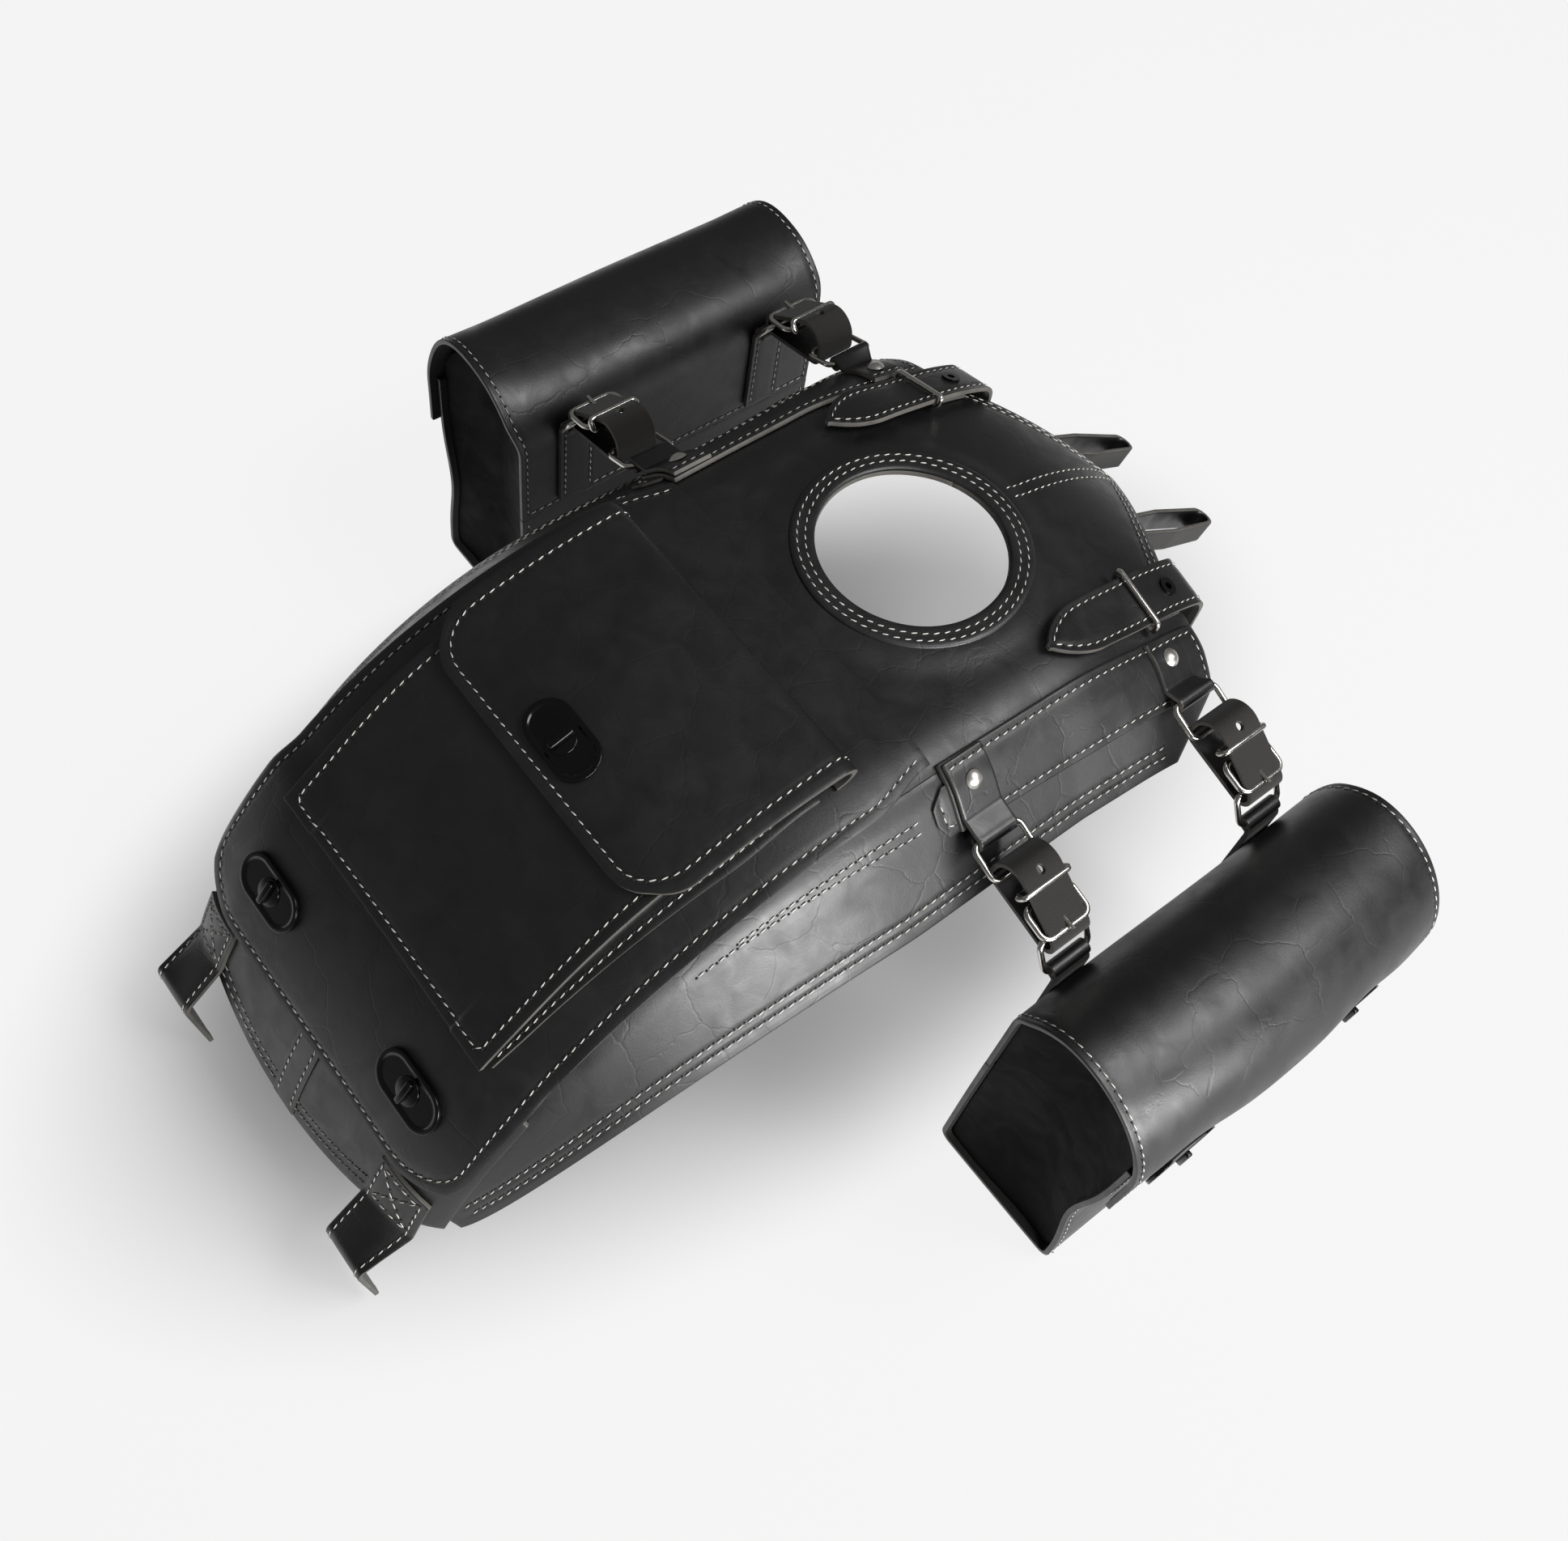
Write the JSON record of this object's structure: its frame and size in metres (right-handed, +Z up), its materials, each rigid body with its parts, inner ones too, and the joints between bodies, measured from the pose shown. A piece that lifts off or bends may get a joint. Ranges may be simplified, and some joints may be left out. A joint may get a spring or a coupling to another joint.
{
  "type": "motorcycle tank bag",
  "caption": "Leather apron that lies over a fuel tank, with a neck opening, a map pocket on its rear flap, a rear slip pocket and side bags that hang on buckled straps, closed by turn locks.",
  "frame": {"origin": "centre of the neck opening on the outer face of the top panel", "axes": "+X to the right bag, +Y to the front edge, +Z up out of the neck opening"},
  "size_m": [0.6106, 0.6296, 0.2645],
  "materials": {
    "panel_leather": "semi-gloss black saddle leather",
    "strap_leather": "satin black strap leather",
    "nickel": "polished nickel",
    "black_metal": "gloss black"
  },
  "bodies": {
    "apron": {"top_panel": "panel_leather", "right_side_panel": "panel_leather", "left_side_panel": "panel_leather", "rear_pocket": "panel_leather", "pocket_divider": "strap_leather", "collar_ring": "panel_leather", "front_binding": "strap_leather", "right_band": "panel_leather", "left_band": "panel_leather", "shoulder_tabs": "strap_leather", "band_rivets": "nickel", "right_front_strap": "strap_leather", "left_front_strap": "strap_leather", "front_frames": "nickel", "front_chapes": "strap_leather", "front_eyelets": "black_metal", "front_loops": "strap_leather", "right_rear_strap": "strap_leather", "left_rear_strap": "strap_leather", "rear_strikes": "black_metal"},
    "main_flap": {"main_flap": "panel_leather", "map_pocket": "panel_leather", "pocket_gusset": "strap_leather", "pocket_hood": "panel_leather", "main_lock_plates": "black_metal", "pocket_strike": "black_metal"},
    "pocket_flap": {"pocket_flap": "panel_leather", "pocket_lock_plate": "black_metal"},
    "pocket_knob": {"pocket_knob": "black_metal"},
    "right_main_knob": {"right_main_knob": "black_metal"},
    "left_main_knob": {"left_main_knob": "black_metal"},
    "right_bag": {"right_bag_wrap": "panel_leather", "right_bag_gussets": "strap_leather", "right_bag_strikes": "black_metal", "right_bag_tabs": "strap_leather", "right_rings": "nickel", "right_hanger_straps": "strap_leather", "right_buckles": "nickel"},
    "right_rear_prong": {"right_rear_prong": "nickel"},
    "right_front_prong": {"right_front_prong": "nickel"},
    "right_bag_flap": {"right_bag_flap": "panel_leather", "right_bag_lock_plates": "black_metal"},
    "right_bag_rear_knob": {"right_bag_rear_knob": "black_metal"},
    "right_bag_front_knob": {"right_bag_front_knob": "black_metal"},
    "left_bag": {"left_bag_wrap": "panel_leather", "left_bag_gussets": "strap_leather", "left_bag_strikes": "black_metal", "left_bag_tabs": "strap_leather", "left_rings": "nickel", "left_hanger_straps": "strap_leather", "left_buckles": "nickel"},
    "left_rear_prong": {"left_rear_prong": "nickel"},
    "left_front_prong": {"left_front_prong": "nickel"},
    "left_bag_flap": {"left_bag_flap": "panel_leather", "left_bag_lock_plates": "black_metal"},
    "left_bag_rear_knob": {"left_bag_rear_knob": "black_metal"},
    "left_bag_front_knob": {"left_bag_front_knob": "black_metal"}
  },
  "joints": [
    {"name": "main_flap_hinge", "type": "hinge", "parent": "apron", "child": "main_flap", "pos_m": [0, -0.076, 0.0018], "axis": [-1, 0, 0], "range_deg": [0, 95]},
    {"name": "pocket_flap_hinge", "type": "hinge", "parent": "main_flap", "child": "pocket_flap", "pos_m": [0, -0.12579, 0.0245], "axis": [-1, 0, 0], "range_deg": [0, 100]},
    {"name": "pocket_lock_turn", "type": "hinge", "parent": "pocket_flap", "child": "pocket_knob", "pos_m": [0, -0.21224, 0.00939], "axis": [0, -0.3146, 0.9492], "range_deg": [0, 90]},
    {"name": "right_main_lock_turn", "type": "hinge", "parent": "main_flap", "child": "right_main_knob", "pos_m": [0.062, -0.33864, -0.09794], "axis": [0, -0.7799, 0.6259], "range_deg": [0, 90]},
    {"name": "left_main_lock_turn", "type": "hinge", "parent": "main_flap", "child": "left_main_knob", "pos_m": [-0.062, -0.33864, -0.09794], "axis": [0, -0.7799, 0.6259], "range_deg": [0, 90]},
    {"name": "right_bag_swing", "type": "hinge", "parent": "apron", "child": "right_bag", "pos_m": [0.138, 0.01, -0.027], "axis": [0, -1, 0], "range_deg": [0, 50]},
    {"name": "right_rear_prong_pivot", "type": "hinge", "parent": "right_bag", "child": "right_rear_prong", "pos_m": [0.17583, -0.06, -0.03191], "axis": [0, -1, 0], "range_deg": [0, 70]},
    {"name": "right_front_prong_pivot", "type": "hinge", "parent": "right_bag", "child": "right_front_prong", "pos_m": [0.17583, 0.07969, -0.03191], "axis": [0, -1, 0], "range_deg": [0, 70]},
    {"name": "right_bag_flap_hinge", "type": "hinge", "parent": "right_bag", "child": "right_bag_flap", "pos_m": [0.21589, 0.012, -0.05057], "axis": [0, -1, 0], "range_deg": [0, 100]},
    {"name": "right_bag_rear_lock_turn", "type": "hinge", "parent": "right_bag_flap", "child": "right_bag_rear_knob", "pos_m": [0.3, -0.061, -0.104], "axis": [1, 0, 0], "range_deg": [0, 90]},
    {"name": "right_bag_front_lock_turn", "type": "hinge", "parent": "right_bag_flap", "child": "right_bag_front_knob", "pos_m": [0.3, 0.065, -0.104], "axis": [1, 0, 0], "range_deg": [0, 90]},
    {"name": "left_bag_swing", "type": "hinge", "parent": "apron", "child": "left_bag", "pos_m": [-0.138, 0.01, -0.027], "axis": [0, 1, 0], "range_deg": [0, 50]},
    {"name": "left_rear_prong_pivot", "type": "hinge", "parent": "left_bag", "child": "left_rear_prong", "pos_m": [-0.17583, -0.06, -0.03191], "axis": [0, 1, 0], "range_deg": [0, 70]},
    {"name": "left_front_prong_pivot", "type": "hinge", "parent": "left_bag", "child": "left_front_prong", "pos_m": [-0.17583, 0.07969, -0.03191], "axis": [0, 1, 0], "range_deg": [0, 70]},
    {"name": "left_bag_flap_hinge", "type": "hinge", "parent": "left_bag", "child": "left_bag_flap", "pos_m": [-0.21589, 0.012, -0.05057], "axis": [0, 1, 0], "range_deg": [0, 100]},
    {"name": "left_bag_rear_lock_turn", "type": "hinge", "parent": "left_bag_flap", "child": "left_bag_rear_knob", "pos_m": [-0.3, -0.061, -0.104], "axis": [-1, 0, 0], "range_deg": [0, 90]},
    {"name": "left_bag_front_lock_turn", "type": "hinge", "parent": "left_bag_flap", "child": "left_bag_front_knob", "pos_m": [-0.3, 0.065, -0.104], "axis": [-1, 0, 0], "range_deg": [0, 90]}
  ]
}
